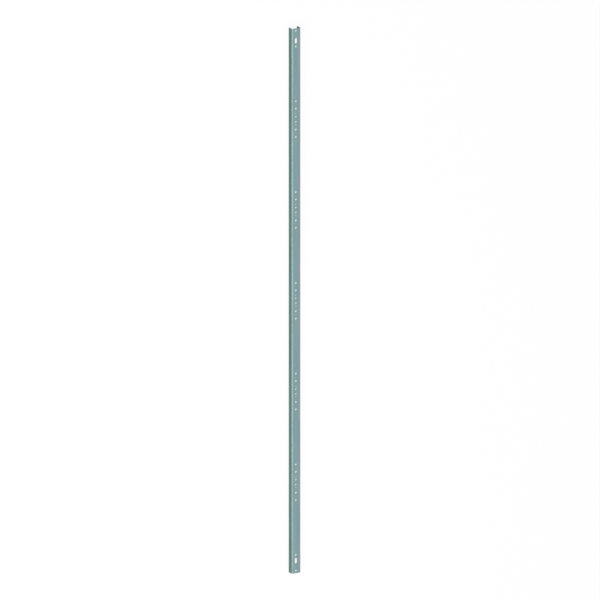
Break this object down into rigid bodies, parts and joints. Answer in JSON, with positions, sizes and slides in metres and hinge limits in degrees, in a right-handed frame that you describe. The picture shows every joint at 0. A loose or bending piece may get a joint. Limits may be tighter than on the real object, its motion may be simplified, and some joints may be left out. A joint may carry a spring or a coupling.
{
  "type": "support rail",
  "caption": "Straight channel-section support rail of folded zinc-plated sheet steel, with groups of round holes along its web and a slot near each end.",
  "frame": {"origin": "the middle of the rail's underside, halfway along it and level with the edges of its flanges", "axes": "+Y along the rail, +X across the web, +Z out of the web's outer face, with both flanges pointing down"},
  "size_m": [0.032, 1.8, 0.0205],
  "materials": {
    "zinc_plated_steel": "zinc-plated cold-rolled sheet with a faint blue-green passivation, satin"
  },
  "bodies": {
    "root": {"support_rail": "zinc_plated_steel"}
  },
  "joints": []
}
